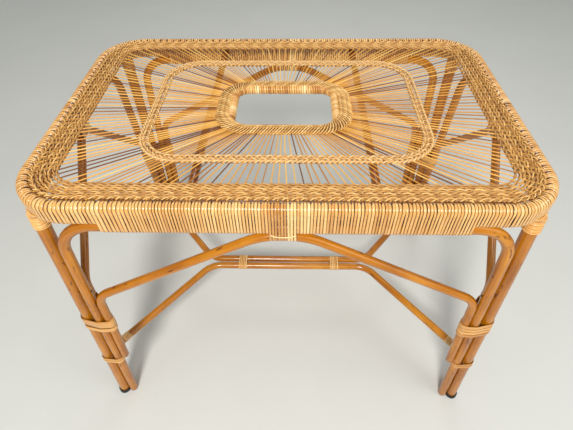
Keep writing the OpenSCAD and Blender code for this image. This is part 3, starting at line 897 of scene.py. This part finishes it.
def cane_material(name, stops, variation=0.5, edge=0.75, gloss=(0.26, 0.42), coat=0.35):
    """Flat or round cane and reed: colour by strand, long fibres, painted shade at strand edges and where
    strands dip under others, uneven varnish.
    """
    n = Nodes(name)
    flow = n.attribute("flow", "Vector")
    tint = n.attribute("tint", "Fac")
    mark = n.attribute("mark", "Fac")
    blotch = n.noise(n.scaled(flow, (14, 60, 60)), 1.0, 3)
    fibres = n.noise(n.scaled(flow, (45, 1400, 1400)), 1.0, 4, 0.6)
    shade = n.math("ADD", tint, n.math("MULTIPLY", n.math("SUBTRACT", blotch, 0.5), variation))
    shade = n.math("ADD", shade, n.math("MULTIPLY", n.math("SUBTRACT", fibres, 0.5), 0.28), True)
    color = n.ramp(shade, stops)
    specks = n.span(n.noise(n.scaled(flow, (160, 700, 700)), 1.0, 2), 0.66, 0.74)
    color = n.mix(n.math("MULTIPLY", specks, 0.4), color, linear((92, 48, 20)))
    # Painted shade: where the mark is high, at strand edges and dips, the colour goes towards dark brown, as
    # strongly as edge says.
    painted_shade = n.math("MULTIPLY", n.math("POWER", mark, 2.0), edge)
    color = n.mix(painted_shade, color, linear((96, 50, 20)))
    rough = n.span(n.noise(n.scaled(flow, (30, 200, 200)), 1.0, 2), 0.3, 0.7, *gloss)
    n.bump(fibres, 0.25, 0.0004)
    return n.finish(color, rough, Specular_IOR_Level=0.35, Coat_Weight=coat, Coat_Roughness=0.12)


def pole_material(name, stops, gloss=(0.24, 0.4), coat=0.6):
    """Varnished rattan pole: long streaks, soft blotches, dark flecks and darker nodes."""
    n = Nodes(name)
    flow = n.attribute("flow", "Vector")
    tint = n.attribute("tint", "Fac")
    mark = n.attribute("mark", "Fac")
    streaks = n.noise(n.scaled(flow, (5, 230, 230)), 1.0, 5, 0.6)
    fibres = n.noise(n.scaled(flow, (18, 1100, 1100)), 1.0, 3, 0.6)
    blotch = n.noise(n.scaled(flow, (9, 28, 28)), 1.0, 3)
    shade = n.math("ADD", tint, n.math("MULTIPLY", n.math("SUBTRACT", blotch, 0.5), 0.9))
    shade = n.math("ADD", shade, n.math("MULTIPLY", n.math("SUBTRACT", streaks, 0.5), 0.75), True)
    color = n.ramp(shade, stops)
    color = n.mix(n.math("MULTIPLY", n.span(fibres, 0.35, 0.7), 0.22), color, linear((120, 62, 22)))
    flecks = n.span(n.noise(n.scaled(flow, (42, 150, 150)), 1.0, 2, 0.4), 0.66, 0.73)
    color = n.mix(n.math("MULTIPLY", flecks, 0.75), color, linear((78, 36, 14)))
    ring = n.math("MULTIPLY", n.math("POWER", mark, 3.0), 0.55)
    color = n.mix(ring, color, linear((104, 52, 20)))
    rough = n.span(n.noise(n.scaled(flow, (20, 60, 60)), 1.0, 3), 0.3, 0.7, *gloss)
    n.bump(n.math("ADD", streaks, n.math("MULTIPLY", fibres, 0.4)), 0.22, 0.0006)
    return n.finish(color, rough, Specular_IOR_Level=0.3, Coat_Weight=coat, Coat_Roughness=0.14)


def plain_material(name, dark, light, rough, metal=0.0):
    n = Nodes(name)
    where = n.new("ShaderNodeTexCoord").outputs["Object"]
    grain = n.noise(where, 900, 3)
    dust = n.noise(where, 120, 4)
    color = n.mix(n.math("MULTIPLY", dust, 0.8), linear(dark), linear(light))
    n.bump(grain, 0.3, 0.0003)
    return n.finish(color, n.span(dust, 0.3, 0.7, *rough), Metallic=metal)


AMBER = [(0.0, (98, 50, 0)), (0.3, (146, 82, 0)), (0.55, (180, 109, 4)), (0.8, (204, 134, 22)),
         (1.0, (228, 168, 60))]
GOLD = [(0.0, (138, 84, 30)), (0.3, (194, 132, 62)), (0.55, (226, 170, 96)), (0.8, (242, 197, 128)),
        (1.0, (252, 224, 168))]
BROWN = [(0.0, (84, 48, 16)), (0.35, (158, 106, 48)), (0.65, (206, 156, 86)), (1.0, (238, 197, 128))]
STRAW = [(0.0, (104, 66, 26)), (0.4, (170, 122, 68)), (0.7, (202, 156, 96)), (1.0, (228, 192, 134))]
REED = [(0.0, (110, 60, 14)), (0.3, (152, 92, 30)), (0.6, (206, 144, 58)), (0.85, (226, 170, 80)),
        (1.0, (240, 198, 116))]
# The carrying poles lie under the top: their darker colours, against the other poles' amber, are painted
# shade.
CROSS_SHADE = [(0.0, (70, 34, 12)), (0.5, (122, 66, 24)), (1.0, (168, 98, 42))]
# The poles inside the winding show only through its gaps: these near-black colours are painted shade.
INNER_SHADE = [(0.0, (40, 20, 8)), (0.5, (64, 34, 14)), (1.0, (92, 52, 24))]
MATERIALS = {
    "leg_rattan": pole_material("leg_rattan", AMBER),
    "u_rattan": pole_material("u_rattan", AMBER),
    "arch_rattan": pole_material("arch_rattan", AMBER),
    "stretcher_rattan": pole_material("stretcher_rattan", AMBER),
    "cross_rattan": pole_material("cross_rattan", CROSS_SHADE),
    "inner_poles": pole_material("inner_poles", INNER_SHADE),
    "rim_cane": cane_material("rim_cane", GOLD, gloss=(0.2, 0.34), coat=0.8),
    "ring_cane": cane_material("ring_cane", GOLD),
    "strap_cane": cane_material("strap_cane", GOLD, edge=0.6),
    "binding_cane": cane_material("binding_cane", GOLD, edge=0.6),
    "band_weave": cane_material("band_weave", BROWN, gloss=(0.38, 0.55), coat=0.15),
    "middle_braid": cane_material("middle_braid", STRAW, gloss=(0.4, 0.58), coat=0.12),
    "centre_braid": cane_material("centre_braid", BROWN, gloss=(0.38, 0.55), coat=0.15),
    "spoke_reed": cane_material("spoke_reed", REED, variation=0.35, gloss=(0.4, 0.55), coat=0.05),
    "foot_rubber": plain_material("foot_rubber", (12, 12, 13), (40, 40, 40), (0.55, 0.8)),
    "nails": plain_material("nails", (40, 32, 26), (96, 80, 66), (0.3, 0.55), 1.0),
}


def dress_cad_nodes():
    """CAD nodes that stay in view get the finish of their slot."""
    rows = {row["node"]: row["material_slot"] for row in frame["record"]["subparts"]}
    for name, obj in frame["nodes"].items():
        obj.data.materials.clear()
        obj.data.materials.append(MATERIALS[rows[name]])


# ---------------------------------------------------------------- camera, floor and light
def make_camera():
    """Stands in front of the table, a little to the right of its middle, looking down at it."""
    pitch, yaw, roll = 0.82228, 0.031542, -0.015319
    standpoint = (0.0206, -0.7666, 1.1978)
    right = np.array([math.cos(yaw), math.sin(yaw), 0])
    level = np.array([-math.sin(yaw), math.cos(yaw), 0])
    z = np.array([0, 0, 1.0])
    ahead = math.cos(pitch) * level - math.sin(pitch) * z
    up = math.sin(pitch) * level + math.cos(pitch) * z
    r2 = math.cos(roll) * right + math.sin(roll) * up
    u2 = -math.sin(roll) * right + math.cos(roll) * up
    data = bpy.data.cameras.new("camera")
    data.sensor_width = 36
    data.lens = 26.01
    data.clip_start, data.clip_end = 0.02, 50
    obj = bpy.data.objects.new("camera", data)
    bpy.context.scene.collection.objects.link(obj)
    turn = Matrix((r2, u2, -ahead)).transposed().to_4x4()
    obj.matrix_world = Matrix.Translation(standpoint) @ turn
    bpy.context.scene.camera = obj


def make_stage():
    mesh = bpy.data.meshes.new("floor")
    half = 12
    square = [(-half, -half, 0), (half, -half, 0), (half, half, 0), (-half, half, 0)]
    mesh.from_pydata(square, [], [(0, 1, 2, 3)])
    floor = bpy.data.objects.new("floor", mesh)
    bpy.context.scene.collection.objects.link(floor)
    n = Nodes("pale_floor")
    where = n.new("ShaderNodeTexCoord").outputs["Object"]
    color = n.mix(n.noise(where, 3, 4), linear((204, 204, 199)), linear((213, 213, 208)))
    mesh.materials.append(n.finish(color, n.span(n.noise(where, 40, 3), 0.3, 0.7, 0.6, 0.75)))


def make_light(name, spot, size, power, color):
    data = bpy.data.lights.new(name, "AREA")
    data.shape = "DISK"
    data.size, data.energy, data.color = size, power, color
    obj = bpy.data.objects.new(name, data)
    bpy.context.scene.collection.objects.link(obj)
    obj.location = spot
    obj.rotation_euler = (Vector((0, 0, 0.5)) - Vector(spot)).to_track_quat("-Z", "Y").to_euler()


def make_lights():
    world = bpy.data.worlds.new("soft_room")
    bpy.context.scene.world = world
    world.use_nodes = True
    back = world.node_tree.nodes["Background"]
    back.inputs["Color"].default_value = (0.93, 0.97, 0.95, 1)
    back.inputs["Strength"].default_value = 0.42
    make_light("key", (-0.3, -2.3, 2.7), 0.7, 95, (1.0, 0.98, 0.95))
    make_light("fill", (2.2, -1.2, 2.2), 2.2, 20, (0.96, 0.98, 1.0))
    make_light("rear", (0.2, 1.8, 3.0), 1.4, 20, (1.0, 0.99, 0.97))


bpy.context.scene.view_settings.view_transform = "Standard"
make_camera()
make_stage()
make_lights()
dress_cad_nodes()
wind_rim()
weave_band()
weave_middle()
weave_centre()
wind_centre()
lay_spokes()
build_poles()
tie_legs()
bind_pairs()
